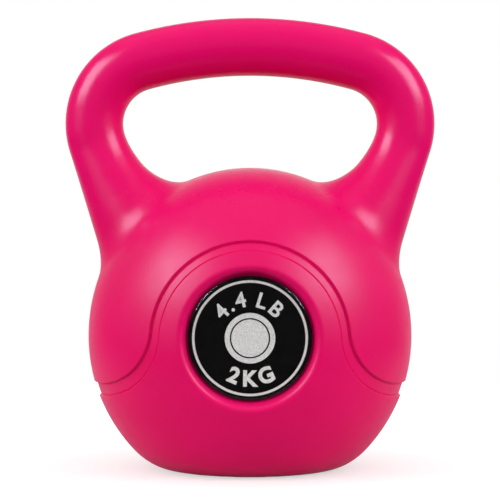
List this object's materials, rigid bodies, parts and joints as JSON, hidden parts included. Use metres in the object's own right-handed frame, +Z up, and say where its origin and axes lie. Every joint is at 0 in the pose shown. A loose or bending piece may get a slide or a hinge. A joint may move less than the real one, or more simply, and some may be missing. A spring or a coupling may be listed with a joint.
{
  "type": "kettlebell",
  "caption": "Light kettlebell: a round plastic shell with a flat base and a wide loop handle, filled with cement, with a recessed domed badge on its front and back.",
  "frame": {"origin": "centre of the flat base, on the surface that the kettlebell stands on", "axes": "+Z up towards the handle, X along the grip, -Y out of the front badge"},
  "size_m": [0.1476, 0.1184, 0.1794],
  "materials": {
    "shell_plastic": "satin",
    "cement": "matte",
    "plug_plastic": "satin",
    "adhesive_foam": "matte",
    "label_print": "gloss",
    "silver_foil": "satin",
    "clear_resin": "gloss"
  },
  "bodies": {
    "root": {"shell": "shell_plastic", "cement_core": "cement", "filler_plug": "plug_plastic", "front_badge_adhesive": "adhesive_foam", "front_badge_label": "label_print", "front_badge_foil": "silver_foil", "front_badge_dome": "clear_resin", "rear_badge_adhesive": "adhesive_foam", "rear_badge_label": "label_print", "rear_badge_foil": "silver_foil", "rear_badge_dome": "clear_resin"}
  },
  "joints": []
}
